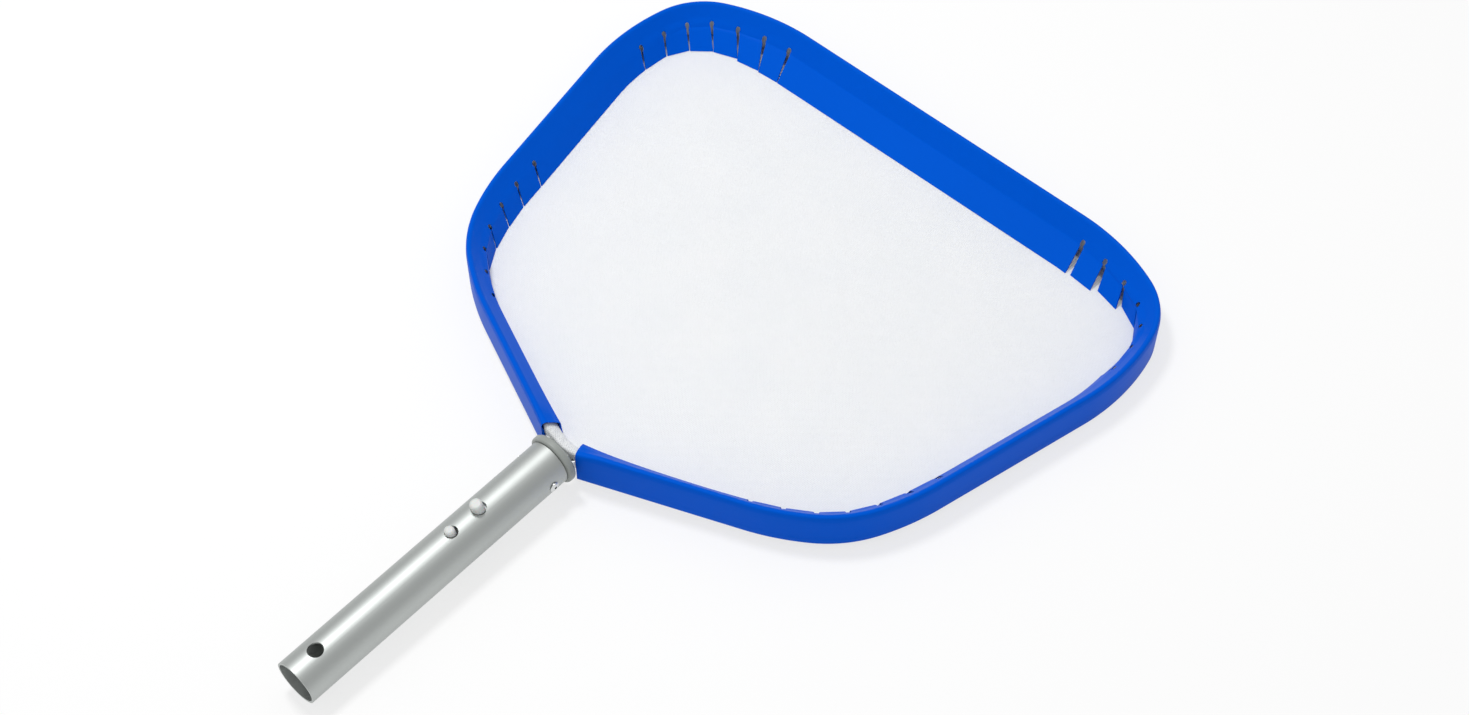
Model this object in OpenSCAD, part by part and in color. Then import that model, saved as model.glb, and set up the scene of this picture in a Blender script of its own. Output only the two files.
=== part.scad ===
// Leaf skimmer net for a pool pole.
// Frame: origin on the handle's axis at the lock buttons, where the pole's cross holes come,
// +X to the right, +Y from the handle to the leading edge, +Z up out of the net's open side.
// Millimetres. Each piece is drawn from the tube's front end and then moved into that frame.
// The rim, hoop, spline and net edge are one section each, carried along the same plan line,
// which is the outer face of the bumper. In a section, x is the distance in from that face
// and y is the height.

/* [Rim plan] */
// Half the gap between the two ends of the bumper at the throat
throat_half = 18; // [17:0.5:24]
// Distance from the tube's end to the bumper's end
throat_reach = 10.8; // [10.5:0.1:14]
// Angle of the two arms off the leading edge
arm_angle = 22.7; // [15:0.1:30]
// Straight length of each arm
arm_len = 97; // [80:1:120]
// Radius of the shoulder's easing at both ends
shoulder_ease_r = 170; // [120:1:200]
// Radius in the middle of the shoulder
shoulder_r = 86; // [60:1:110]
// Angle of the two sides off the leading edge
side_angle = 77.3; // [70:0.1:85]
// Straight length of each side
side_len = 107; // [80:1:130]
// Radius of the leading corner's easing at both ends
corner_ease_r = 146; // [110:1:170]
// Radius in the middle of the leading corner
corner_r = 51; // [40:1:70]

/* [Bumper] */
// Height of the rounded rim above the handle's axis
rim_top = 11; // [10:0.1:14]
// Depth of the whole rim, from its rounded top to its underside
rim_height = 26; // [25.5:0.1:28]
// Wall of the moulded section
bumper_wall = 1.6; // [1.2:0.1:1.7]
// Distance from the outer face in to the bend of the sloping lip
lip_depth = 12.3; // [12:0.1:13.5]
// Drop from the rounded top to that bend
lip_drop = 12.8; // [12:0.1:13.2]
// How far the inner flange leans in below the bend, along the arms
arm_lean = 1; // [0.5:0.5:4]
// How far it leans in along the sides
flange_lean = 7; // [4:0.5:10]
// How far it leans in along the leading edge
front_lean = 17; // [6:0.5:18]
// How far the right end runs on from the arm's start towards the plug
right_run_on = 6; // [0:0.5:6.5]
// How far the left end runs on
left_run_on = 0; // [0:0.5:6.5]
// Slits in each corner that let the flange bend
slit_count = 7; // [3:1:9]
// Width of a slit
slit_w = 2; // [1:0.1:3]
// Pitch of the slits round a shoulder
shoulder_slit_pitch = 21; // [14:0.5:24]
// Pitch of the slits round a leading corner
corner_slit_pitch = 21.5; // [14:0.5:24]
// Distance of the right shoulder's slits past the middle of the shoulder
right_slit_shift = 3; // [0:1:20]
// Distance of the left shoulder's slits past the middle of the shoulder
left_slit_shift = 16; // [0:1:20]
// Distance of a corner's slits past the middle of the corner
corner_slit_shift = 14; // [0:1:16]

/* [Hoop] */
// Width of the aluminium section
hoop_w = 6.8; // [6.4:0.1:7]
// Height of its upper walls, from the web's underside
hoop_wall_h = 6.1; // [5.6:0.1:6.4]
// Height of its spline channel, below the web
hoop_leg_h = 6.4; // [5.8:0.1:6.6]
// Wall of the section
hoop_wall = 1; // [0.8:0.1:1.1]
// Play between the bumper and the hoop
hoop_play = 0.6; // [0.4:0.1:0.8]
// Length of each end inside the plug
tongue_len = 28; // [22:1:32]
// Place of a tongue's outer line off the middle plane
tongue_x = 11.4; // [11:0.1:11.8]

/* [Net] */
// Thickness of the net
net_t = 0.5; // [0.3:0.1:0.8]
// Pitch of the drawn grid
net_pitch = 19; // [19:1:40]
// Width of a grid bar
net_bar = 2.2; // [1:0.1:4]
// Width of the plain band round the grid
net_band = 3; // [2:0.5:6]
// Thickness of the edge that is tucked into the hoop
border_t = 0.35; // [0.2:0.05:0.4]
// Radius of the spline cord
spline_r = 1.75; // [1.4:0.05:1.8]
// Thickness of the throat patch
patch_t = 0.6; // [0.4:0.1:1]

/* [Handle] */
// Outer diameter of the tube
tube_d = 28.6; // [28:0.1:29.5]
// Wall of the tube
tube_wall = 1.3; // [1:0.1:1.6]
// Length of the tube
tube_len = 195.5; // [160:0.5:260]
// Angle that the tube droops below the net
handle_droop = 2.3; // [0:0.1:4]
// Diameter of the cross hole near the free end
cross_d = 9.6; // [6:0.1:12]
// Distance from the free end to the cross hole
cross_in = 17.4; // [12:0.1:30]

/* [Throat plug] */
// Diameter of the plug's flange
flange_d = 33; // [31:0.1:36]
// Thickness of the flange
flange_t = 5.1; // [4:0.1:5.4]
// Rounding of the flange's edges
flange_round = 1.6; // [0.5:0.1:2]
// Shadow gap between the tube's end and the flange
flange_gap = 0.4; // [0.2:0.1:0.6]
// Length of the plug inside the tube
plug_len = 32; // [30:1:36]
// Play round the plug and round the hoop's tongues
plug_play = 0.25; // [0.15:0.05:0.4]

/* [Clip] */
// Distance from the tube's end to the release buttons, at the tube's skin
release_y = 55.5; // [54:0.5:58]
// Distance from the tube's end to the lock buttons, at the tube's skin
lock_y = 77; // [74:0.5:79]
// Distance from the tube's end to the arms' hinges
clip_hinge_y = 105; // [102:0.5:108]
// Height of a hinge off the tube's axis
clip_hinge_z = 1.6; // [1.5:0.1:1.8]
// Lean of an arm at rest
clip_lean = 9.1; // [8.6:0.1:9.2]
// Travel of an arm, in degrees
clip_travel = 7.5; // [6:0.1:7.6]
// Length of an arm
clip_arm_len = 57.6; // [56:0.1:58]
// Width of an arm
clip_arm_w = 9; // [7:0.1:9]
// Thickness of an arm
clip_arm_t = 2; // [1.6:0.1:2]
// Diameter of a release button
release_d = 7.6; // [6.6:0.1:7.8]
// Height of a release button above the tube
release_rise = 6.5; // [5:0.1:6.6]
// Diameter of a lock button
lock_d = 6.2; // [5.6:0.1:6.4]
// Height of a lock button above the tube
lock_rise = 3.7; // [2.5:0.1:3.8]
// Rounding of the buttons' tops
button_round = 1.5; // [0.6:0.1:2]
// Least play of a button in its hole
button_play = 0.3; // [0.2:0.05:0.4]
// Outer radius of the clip's bend
clip_bend_r = 4.6; // [4:0.1:5.5]

/* [Rivets] */
// Distance from the tube's end to the rivets
rivet_y = 10.5; // [9:0.5:14]
// Radius of a rivet's shank
rivet_r = 1.6; // [1.4:0.1:1.7]
// Radius of a rivet's head
rivet_head_r = 3.25; // [2.8:0.05:3.6]
// Height of a rivet's head
rivet_head_h = 1.3; // [0.8:0.1:1.6]
// Radius of a rivet's pulled mandrel
mandrel_r = 0.85; // [0.7:0.05:0.95]
// Play of a rivet in its holes
rivet_play = 0.1; // [0.1:0.05:0.2]

/* [Hidden] */
$fn = 96;
fit_gap = 0.2;
slit_edge = 0.05;
through = 60;

// Plan line: each stretch is [length, 0] for a straight one, or [radius, turn] for an arc,
// with both negative where it turns right.
shoulder_turn = side_angle - arm_angle;
corner_turn = 180 - side_angle;
throat_start = [throat_half, throat_reach, arm_angle];
half_rim = [
    [arm_len, 0],
    [shoulder_ease_r, shoulder_turn / 4],
    [shoulder_r, shoulder_turn / 2],
    [shoulder_ease_r, shoulder_turn / 4],
    [side_len, 0],
    [corner_ease_r, corner_turn / 4],
    [corner_r, corner_turn / 2],
    [corner_ease_r, corner_turn / 4]
];

function moved(p, s) = s[1] == 0
    ? [p[0] + s[0] * cos(p[2]), p[1] + s[0] * sin(p[2]), p[2]]
    : [p[0] + s[0] * (sin(p[2] + s[1]) - sin(p[2])),
       p[1] + s[0] * (cos(p[2]) - cos(p[2] + s[1])),
       p[2] + s[1]];
function place(line, start, i) = i == 0 ? start : moved(place(line, start, i - 1), line[i - 1]);
function run_of(s) = s[1] == 0 ? s[0] : s[0] * s[1] * PI / 180;
function run_to(line, i) = i == 0 ? 0 : run_to(line, i - 1) + run_of(line[i - 1]);
function part_of(s, run) = s[1] == 0 || run == 0 ? [run, 0] : [s[0], s[1] * run / run_of(s)];
function pose_at(line, start, run, i = 0) = run <= run_of(line[i]) || i == len(line) - 1
    ? moved(start, part_of(line[i], run))
    : pose_at(line, moved(start, line[i]), run - run_of(line[i]), i + 1);

// The leading edge closes the half rim on the middle plane
corner_end = place(half_rim, throat_start, len(half_rim));
rim = concat(half_rim, [[corner_end[0], 0]]);
front_y = corner_end[1];
shoulder_mid = run_to(rim, 1) + (run_of(rim[1]) + run_of(rim[2]) + run_of(rim[3])) / 2;
corner_mid = run_to(rim, 5) + (run_of(rim[5]) + run_of(rim[6]) + run_of(rim[7])) / 2;

// The hoop leaves the plug straight, then bends out to the arm
bend_start_y = flange_gap + flange_t + 0.5;
throat_bend_r = (throat_reach + tan(arm_angle) * (tongue_x - throat_half) - bend_start_y)
    / (cos(arm_angle) - tan(arm_angle) * (1 - sin(arm_angle)));
tongue_start = [tongue_x, -tongue_len, 90];
tongue_line = [[tongue_len + bend_start_y, 0], [-throat_bend_r, arm_angle - 90]];
bend_end = place(tongue_line, tongue_start, 2);
link_len = (throat_half - bend_end[0]) / cos(arm_angle);
bend_run = run_of(tongue_line[1]);

// Widths and heights of the stacked pieces in the section. The hoop sits under the lip.
rim_bottom = rim_top - rim_height;
bend_z = rim_top - lip_drop;
bead_w = 6.4;
bead_h = 3.4;
foot_w = 4.2;
face_draft = 0.3;
bend_ease = 0.6;
hoop_in = bumper_wall + hoop_play;
hoop_out = hoop_in + hoop_w;
lip_angle = atan2(lip_drop - bead_h, lip_depth - bead_w);
lip_under = rim_top - bead_h - (hoop_out - bead_w) * tan(lip_angle) - bumper_wall / cos(lip_angle);
hoop_top = lip_under - hoop_play;
rivet_inside = tongue_x - hoop_in - hoop_wall - rivet_play;
upset_r = rivet_r + 0.2;
upset_len = 1.6;
ball_r = 1.4;
ball_x = rivet_inside - 2.9;
rivet_notch = -rivet_y * sin(handle_droop) - rivet_r - 2 * rivet_play;
web_z = hoop_top - hoop_wall_h;
leg_bottom = web_z - hoop_leg_h;
net_top = leg_bottom - fit_gap;
net_bottom = net_top - net_t;
flange_bottom = net_top + fit_gap;
border_reach = hoop_out + 4;
panel_edge = border_reach + 0.1;
spline_x = (hoop_in + hoop_out) / 2;
channel_half = hoop_w / 2 - hoop_wall - 0.15;
spline_play = 0.1;
patch_gap = 0.8;

// Handle and clip
tube_r = tube_d / 2;
bore_r = tube_r - tube_wall;
plug_r = bore_r - plug_play;
wall_mid_z = tube_r - tube_wall / 2;
press_lean = clip_lean - clip_travel;
function arm_run(y) = (clip_hinge_y - y + (wall_mid_z - clip_hinge_z) * tan(clip_lean)) * cos(clip_lean);
function skin_y(run, lean) = -clip_hinge_y + run / cos(lean) - (wall_mid_z - clip_hinge_z) * tan(lean);
function hole_y(run) = (skin_y(run, clip_lean) + skin_y(run, press_lean)) / 2;
function hole_r(run, d) = d / 2 / cos(clip_lean) + button_play
    + abs(skin_y(run, press_lean) - skin_y(run, clip_lean)) / 2 + tube_wall / 2 * tan(clip_lean);
function button_top(run, rise) = (tube_r + rise - clip_hinge_z - run * sin(clip_lean)) / cos(clip_lean);
release_run = arm_run(release_y);
lock_run = arm_run(lock_y);

// Stations along the rim: each is [run, data], and the bumper's data is [open, lean], where open
// marks the gap of a slit.
// A full station is the plan point and the inward direction there.
function arc_runs(step) = concat(
    [for (i = [0 : len(rim) - 1])
        let (steps = rim[i][1] == 0 ? 1 : ceil(run_of(rim[i]) / step))
            for (k = [0 : steps - 1]) run_to(rim, i) + run_of(rim[i]) * k / steps],
    [run_to(rim, len(rim))]);
function slit_runs(mid, pitch) = [for (i = [0 : slit_count - 1]) mid + (i - (slit_count - 1) / 2) * pitch];
function side_slits(shift) = concat(slit_runs(shoulder_mid + shift, shoulder_slit_pitch),
                                    slit_runs(corner_mid + corner_slit_shift, corner_slit_pitch));
function eased(t) = let (u = max(0, min(1, t))) u * u * (3 - 2 * u);
function lean_at(run) = arm_lean
    + (flange_lean - arm_lean) * eased((run - run_to(rim, 1)) / (run_to(rim, 4) - run_to(rim, 1)))
    + (front_lean - flange_lean) * eased((run - corner_mid - corner_slit_shift)
        / ((slit_count - 1) / 2 * corner_slit_pitch));
function near_slit(run, slits) = min([for (c = slits) abs(c - run)]) < slit_w / 2 + 1;
function sorted(list) = len(list) < 2 ? list
    : let (pivot = list[floor(len(list) / 2)][0])
        concat(sorted([for (v = list) if (v[0] < pivot) v]),
               [for (v = list) if (v[0] == pivot) v],
               sorted([for (v = list) if (v[0] > pivot) v]));
plain_stations = [for (run = arc_runs(9)) [run, false]];
function slit_stations(run_on, shift) = let (slits = side_slits(shift)) sorted(concat(
    run_on > 0 ? [[-run_on, [false, arm_lean]]] : [],
    [for (run = arc_runs(7)) if (!near_slit(run, slits)) [run, [false, lean_at(run)]]],
    [for (c = slits, side = [-1, 1], cut = [false, true])
        [c + side * (slit_w / 2 + (cut ? 0 : slit_edge)), [cut, lean_at(c)]]]));

function framed(p) = [p[0], p[1], -sin(p[2]), cos(p[2])];
function half_frames(stations) = [for (v = stations) concat(framed(pose_at(rim, throat_start, v[0])), [v[1]])];
function flipped(frames) = [for (i = [len(frames) - 1 : -1 : 0])
    let (f = frames[i]) [-f[0], f[1], -f[2], f[3], f[4]]];
function joined(right, left) = concat(right, flipped([for (i = [0 : len(left) - 2]) left[i]]));
function looped(frames) = joined(frames, frames);
function lifted(f, section) = [for (q = section) [f[0] + q[0] * f[2], f[1] + q[0] * f[3], q[1]]];

// Skins a row of rings that all have the same number of points and run clockwise.
// The end caps are given as the section's convex pieces.
module skin(rings, pieces) {
    m = len(rings[0]);
    n = len(rings);
    polyhedron(
        points = [for (r = rings) each r],
        faces = concat(
            [for (c = pieces) [for (i = [0 : len(c) - 1]) c[(len(c) - i) % len(c)]]],
            [for (k = [0 : n - 2], i = [0 : m - 1]) [k * m + i, k * m + (i + 1) % m, (k + 1) * m + i]],
            [for (k = [0 : n - 2], i = [0 : m - 1])
                [(k + 1) * m + i, k * m + (i + 1) % m, (k + 1) * m + (i + 1) % m]],
            [for (c = pieces) [for (i = c) (n - 1) * m + i]]));
}

// Pieces of a section that is a strip with as many points on one side as on the other
function strip_pieces(m) = [for (i = [0 : m / 2 - 2]) [i, i + 1, m - 2 - i, m - 1 - i]];

// A path's point, moved to the right of the path by the wall's thickness. The path's end is cut level.
function right_of(a, b) = [b[1] - a[1], a[0] - b[0]] / norm(b - a);
function inner_point(path, i, wall) =
    let (last = len(path) - 1,
         before = right_of(path[max(i - 1, 0)], path[max(i, 1)]),
         after = right_of(path[min(i, last - 1)], path[min(i + 1, last)]),
         middle = (before + after) / norm(before + after))
    i == last ? path[i] - [wall * norm(path[i] - path[i - 1]) / (path[i - 1][1] - path[i][1]), 0]
              : path[i] + middle * wall / (middle * before);
function walled(path, wall) = concat(path,
    [for (i = [len(path) - 1 : -1 : 0]) inner_point(path, i, wall)]);

module both_sides() {
    children();
    mirror([1, 0, 0]) children();
}

module in_handle() {
    rotate([handle_droop, 0, 0]) children();
}

module at_pole_seat() {
    rotate([handle_droop, 0, 0]) translate([0, lock_y, 0]) rotate([-handle_droop, 0, 0]) children();
}

module handle_rod(r, from_y, to_y) {
    translate([0, to_y, 0]) rotate([90, 0, 0]) cylinder(r = r, h = to_y - from_y);
}

module cross_rod(r, x0, x1) {
    translate([x0, 0, 0]) rotate([0, 90, 0]) cylinder(r = r, h = x1 - x0);
}

// Plan outline of the net's opening, set in from the bumper's outer face
function edge_point(p, inset) = [p[0] - inset * sin(p[2]), p[1] + inset * cos(p[2])];
function net_outline(inset) = [for (f = looped(half_frames(plain_stations)))
    [f[0] + inset * f[2], f[1] + inset * f[3]]];

// The bumper's outside, from the foot up the outer face, over the rim, down the sloping lip
// and the inner flange. In the gap of a slit the flange ends just under the bend.
function bumper_path(open, lean) = [
    [foot_w, rim_bottom], [face_draft, rim_bottom], [0.1, rim_top - 6], [1, rim_top - 1.5],
    [2.8, rim_top], [4.4, rim_top - 0.9], [bead_w, rim_top - bead_h], [lip_depth, bend_z],
    [lip_depth + bend_ease, bend_z - 1.5 * bend_ease],
    open ? [lip_depth + 1.3 * bend_ease, bend_z - 2.4 * bend_ease]
         : [lip_depth + lean, flange_bottom]
];

module bumper() {
    right = half_frames(slit_stations(right_run_on, right_slit_shift));
    left = half_frames(slit_stations(left_run_on, left_slit_shift));
    color([0.0, 0.33, 0.79])
        skin([for (f = joined(right, left))
                lifted(f, walled(bumper_path(f[4][0], f[4][1]), bumper_wall))],
            strip_pieces(2 * len(bumper_path(false, flange_lean))));
}

// The extruded section: an open channel above a web, and the spline channel's legs below it.
// Its outer wall ends at the given height.
function hoop_section(leg, wall_top) =
    let (a = hoop_in, b = hoop_out, w = hoop_wall, web = web_z, low = web_z - leg)
    [
        [b, low], [b - w, low], [b - w, web], [a + w, web], [a + w, low], [a, low],
        [a, wall_top], [a + w, wall_top], [a + w, web + w], [b - w, web + w],
        [b - w, hoop_top], [b, hoop_top]
    ];
hoop_pieces = [[0, 1, 2, 9, 10, 11], [2, 3, 8, 9], [5, 6, 7, 8, 3, 4]];

// The ends leave the plug side by side, bend out to the arms, and only there have the legs.
// A notch in each outer wall lets the rivet through.
trimmed = [0.05, hoop_top];
notched = [0.05, rivet_notch];
whole = [hoop_leg_h, hoop_top];
function tongue_frames(run, cut) = [concat(framed(moved(tongue_start, [run, 0])), [cut])];
notch_from = tongue_len - rivet_y - rivet_r - 2 * rivet_play;
notch_to = tongue_len - rivet_y + rivet_r + 2 * rivet_play;
hoop_frames = looped(concat(
    tongue_frames(0, trimmed),
    tongue_frames(notch_from - slit_edge, trimmed),
    tongue_frames(notch_from, notched),
    tongue_frames(notch_to, notched),
    tongue_frames(notch_to + slit_edge, trimmed),
    [for (k = [0 : 5]) concat(
        framed(moved(place(tongue_line, tongue_start, 1), part_of(tongue_line[1], bend_run * k / 5))),
        [trimmed])],
    [concat(framed(moved(bend_end, [link_len - slit_edge, 0])), [trimmed])],
    [for (f = half_frames(plain_stations)) [f[0], f[1], f[2], f[3], whole]]));

module hoop() {
    color([0.76, 0.77, 0.77])
        skin([for (f = hoop_frames) lifted(f, hoop_section(f[4][0], f[4][1]))], hoop_pieces);
}

// Net edge: a flat band under the hoop, turned up into its channel and down again
border_path = [
    [border_reach, net_bottom], [spline_x + channel_half - border_t, net_bottom],
    [spline_x + channel_half - border_t, web_z - fit_gap - border_t],
    [spline_x - channel_half + border_t, web_z - fit_gap - border_t],
    [spline_x - channel_half + border_t, leg_bottom + 0.4]
];

module net_border() {
    color([0.84, 0.86, 0.88])
        skin([for (f = looped(half_frames(plain_stations))) lifted(f, walled(border_path, border_t))],
            strip_pieces(2 * len(border_path)));
}

function cord_section(x, z, r, sides) = [for (k = [0 : sides - 1])
    [x + r * cos(-360 * k / sides), z + r * sin(-360 * k / sides)]];

module net_spline() {
    z = web_z - fit_gap - border_t - spline_play - spline_r;
    color([0.7, 0.72, 0.72])
        skin([for (f = looped(half_frames(plain_stations)))
                lifted(f, cord_section(spline_x, z, spline_r, 8))],
            [[for (k = [0 : 7]) k]]);
}

// Flat net, drawn as a plate with rows of diamond gaps
function crosses(a, b, q) = (a[1] > q[1]) != (b[1] > q[1])
    && q[0] < (b[0] - a[0]) * (q[1] - a[1]) / (b[1] - a[1]) + a[0];
function inside(q, outline) = len([for (i = [0 : len(outline) - 1])
    if (crosses(outline[i], outline[(i + 1) % len(outline)], q)) i]) % 2 == 1;
function diamond(x, y, r) = [[x - r, y], [x, y + r], [x + r, y], [x, y - r]];

module net_panel() {
    edge = net_outline(panel_edge);
    rim_line = net_outline(panel_edge + net_band);
    half_gap = (net_pitch - net_bar) / sqrt(2);
    row = net_pitch / sqrt(2);
    columns = ceil(corner_end[0] * 2 / row);
    rows = ceil(front_y / row);
    gaps = [for (j = [0 : rows], i = [-columns : columns])
        if ((i + j) % 2 == 0)
            let (gap = diamond(i * row, j * row, half_gap))
                if (min([for (q = gap) inside(q, rim_line) ? 1 : 0]) == 1) gap];
    n = len(edge);
    echo(net_gaps = len(gaps));
    color([0.93, 0.94, 0.95]) translate([0, 0, net_bottom]) linear_extrude(height = net_t)
        polygon(
            points = concat(edge, [for (g = gaps) each g]),
            paths = concat([[for (i = [0 : n - 1]) i]],
                [for (k = [0 : len(gaps) - 1]) [for (i = [0 : 3]) n + 4 * k + i]]));
}

// Folded patch that closes the net over the hoop's throat, cut back from the bumper's two ends
module throat_patch() {
    back = flange_gap + flange_t + 0.9;
    crest = edge_point(throat_start, hoop_out)[1] - 0.5;
    front = edge_point(throat_start, panel_edge)[1] + 1.5;
    low = hoop_top + fit_gap;
    foot = net_top + fit_gap;
    right_end = moved(throat_start, [-right_run_on - patch_gap, 0]);
    left_end = moved(throat_start, [-left_run_on - patch_gap, 0]);
    wide = plug_r;
    color([0.88, 0.89, 0.9]) intersection() {
        translate([-throat_half, 0, 0]) rotate([90, 0, 90]) linear_extrude(height = 2 * throat_half)
            polygon([[back, low], [back, low + patch_t], [crest + 0.3, low + patch_t],
                     [front, foot + 0.5], [front, foot], [front - patch_t, foot], [crest, low]]);
        translate([0, 0, -through / 2]) linear_extrude(height = through) intersection() {
            translate([-wide, back]) square([2 * wide, through]);
            half_plane(right_end);
            mirror([1, 0]) half_plane(left_end);
        }
    }
}

// Everything on the plug's side of a line square across an arm
module half_plane(p) {
    translate([p[0], p[1]]) rotate(p[2]) translate([-through, -through]) square([through, 2 * through]);
}

module handle_tube() {
    color([0.72, 0.73, 0.73]) in_handle() difference() {
        handle_rod(tube_r, -tube_len, 0);
        handle_rod(bore_r, -tube_len - 1, 1);
        translate([0, cross_in - tube_len, -through / 2]) cylinder(d = cross_d, h = through);
        translate([0, hole_y(release_run), -through / 2])
            cylinder(r = hole_r(release_run, release_d), h = through);
        translate([0, hole_y(lock_run), -through / 2])
            cylinder(r = hole_r(lock_run, lock_d), h = through);
        translate([0, -rivet_y, 0]) cross_rod(rivet_r + rivet_play, -through / 2, through / 2);
    }
}

// Moulded plug: round flange outside the tube, spigot inside it, two slots for the hoop's ends
module throat_plug() {
    slot_x = tongue_x - hoop_out - plug_play;
    color([0.58, 0.6, 0.58]) difference() {
        in_handle() {
            translate([0, flange_gap, 0]) rotate([-90, 0, 0]) rotate_extrude() {
                square([flange_d / 2 - flange_round, flange_t]);
                translate([0, flange_round]) square([flange_d / 2, flange_t - 2 * flange_round]);
                for (y = [flange_round, flange_t - flange_round])
                    translate([flange_d / 2 - flange_round, y]) circle(r = flange_round, $fn = 32);
            }
            handle_rod(plug_r, -plug_len, flange_gap + 1);
        }
        both_sides() translate([slot_x, -tongue_len - 0.3, web_z - plug_play])
            cube([hoop_w + 2 * plug_play, tongue_len + 20, hoop_wall_h + 2 * plug_play]);
        in_handle() translate([0, -rivet_y, 0]) both_sides() {
            cross_rod(rivet_r + rivet_play, rivet_inside, tube_r + 1);
            cross_rod(upset_r + rivet_play, ball_x - ball_r - fit_gap, rivet_inside + rivet_play);
        }
    }
}

module button(run, d, rise) {
    top = button_top(run, rise);
    translate([0, run, 0]) rotate_extrude() {
        square([d / 2, top - button_round]);
        square([d / 2 - button_round, top]);
        translate([d / 2 - button_round, top - button_round])
            intersection() {
                circle(r = button_round, $fn = 32);
                square(button_round);
            }
    }
}

// One springy arm of the clip with its two buttons, hinged where it joins the bend
module clip_arm() {
    in_handle() translate([0, -clip_hinge_y, clip_hinge_z]) rotate([clip_lean, 0, 0]) {
        translate([-clip_arm_w / 2, 0, -clip_arm_t / 2]) cube([clip_arm_w, clip_arm_len, clip_arm_t]);
        cross_rod(clip_arm_t / 2, -clip_arm_w / 2, clip_arm_w / 2);
        button(release_run, release_d, release_rise);
        button(lock_run, lock_d, lock_rise);
    }
}

module upper_clip_arm() {
    color([0.82, 0.84, 0.83]) clip_arm();
}

module lower_clip_arm() {
    color([0.82, 0.84, 0.83]) in_handle() mirror([0, 0, 1]) rotate([-handle_droop, 0, 0]) clip_arm();
}

// The clip's bend: an open ring behind the two hinges
module clip_bend() {
    front = clip_hinge_y + clip_arm_t / 2 + 0.3;
    centre = front + clip_bend_r - 0.8;
    slot = 2 * clip_hinge_z - clip_arm_t;
    color([0.82, 0.84, 0.83]) in_handle() difference() {
        translate([0, -centre, 0]) cross_rod(clip_bend_r, -clip_arm_w / 2, clip_arm_w / 2);
        translate([0, -centre, 0])
            cross_rod(clip_bend_r - clip_arm_t, -clip_arm_w, clip_arm_w);
        translate([-clip_arm_w, -front, -clip_bend_r])
            cube([2 * clip_arm_w, clip_bend_r, 2 * clip_bend_r]);
        translate([-clip_arm_w, -centre, -slot / 2]) cube([2 * clip_arm_w, 2 * clip_bend_r, slot]);
    }
}

// Blind rivet: domed head outside, shank through tube, plug and tongue, upset end in the tongue
module rivet() {
    in_handle() translate([0, -rivet_y, 0]) difference() {
        union() {
            cross_rod(rivet_r, rivet_inside - upset_len / 2, tube_r + 0.3);
            cross_rod(upset_r, rivet_inside - upset_len, rivet_inside);
            translate([tube_r + 0.05, 0, 0]) rotate([0, 90, 0]) rotate_extrude() {
                square([rivet_head_r, 0.4]);
                intersection() {
                    square([rivet_head_r, rivet_head_h]);
                    translate([0, rivet_head_h - dome_r()]) circle(r = dome_r());
                }
            }
        }
        cross_rod(mandrel_r + 0.1, ball_x, tube_r + 3);
    }
}
function dome_r() = (pow(rivet_head_r, 2) + pow(rivet_head_h - 0.3, 2)) / 2 / (rivet_head_h - 0.3);

// What stays of the mandrel: a broken stem with its ball behind the upset end
module mandrel() {
    in_handle() translate([0, -rivet_y, 0]) {
        cross_rod(mandrel_r, ball_x, tube_r + 0.2);
        translate([ball_x, 0, 0]) sphere(r = ball_r, $fn = 32);
    }
}

module right_rivet() {
    color([0.75, 0.76, 0.76]) rivet();
}
module left_rivet() {
    color([0.75, 0.76, 0.76]) mirror([1, 0, 0]) rivet();
}
module right_mandrel() {
    color([0.45, 0.46, 0.47]) mandrel();
}
module left_mandrel() {
    color([0.45, 0.46, 0.47]) mirror([1, 0, 0]) mandrel();
}

at_pole_seat() handle_tube();
at_pole_seat() throat_plug();
at_pole_seat() hoop();
at_pole_seat() bumper();
at_pole_seat() net_panel();
at_pole_seat() net_border();
at_pole_seat() net_spline();
at_pole_seat() throat_patch();
at_pole_seat() clip_bend();
at_pole_seat() upper_clip_arm();
at_pole_seat() lower_clip_arm();
at_pole_seat() left_rivet();
at_pole_seat() right_rivet();
at_pole_seat() left_mandrel();
at_pole_seat() right_mandrel();
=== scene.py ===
import math
import bpy
import mathutils
import numpy as np
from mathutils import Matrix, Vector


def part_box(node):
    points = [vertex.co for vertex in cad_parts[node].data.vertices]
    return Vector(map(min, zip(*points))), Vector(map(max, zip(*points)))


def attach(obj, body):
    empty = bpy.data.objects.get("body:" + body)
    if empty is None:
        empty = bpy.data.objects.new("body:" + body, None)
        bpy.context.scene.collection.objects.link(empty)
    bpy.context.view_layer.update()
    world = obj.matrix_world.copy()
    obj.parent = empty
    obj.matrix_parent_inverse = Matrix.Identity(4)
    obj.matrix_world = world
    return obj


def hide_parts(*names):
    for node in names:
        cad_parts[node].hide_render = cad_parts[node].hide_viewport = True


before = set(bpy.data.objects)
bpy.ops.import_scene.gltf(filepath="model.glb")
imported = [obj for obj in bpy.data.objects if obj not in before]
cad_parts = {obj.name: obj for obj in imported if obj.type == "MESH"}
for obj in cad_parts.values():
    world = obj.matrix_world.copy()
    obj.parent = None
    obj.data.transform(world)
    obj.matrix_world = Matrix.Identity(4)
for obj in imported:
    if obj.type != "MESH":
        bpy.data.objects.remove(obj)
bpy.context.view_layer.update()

mm = 0.001
seed = np.random.default_rng(7)


def linearColour(hexCode):
    # sRGB hex to linear: the low end is divided by 12.92, the rest is a power of 2.4
    parts = [int(hexCode[i:i + 2], 16) / 255 for i in (0, 2, 4)]
    return [v / 12.92 if v <= 0.04045 else ((v + 0.055) / 1.055) ** 2.4 for v in parts] + [1.0]


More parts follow.
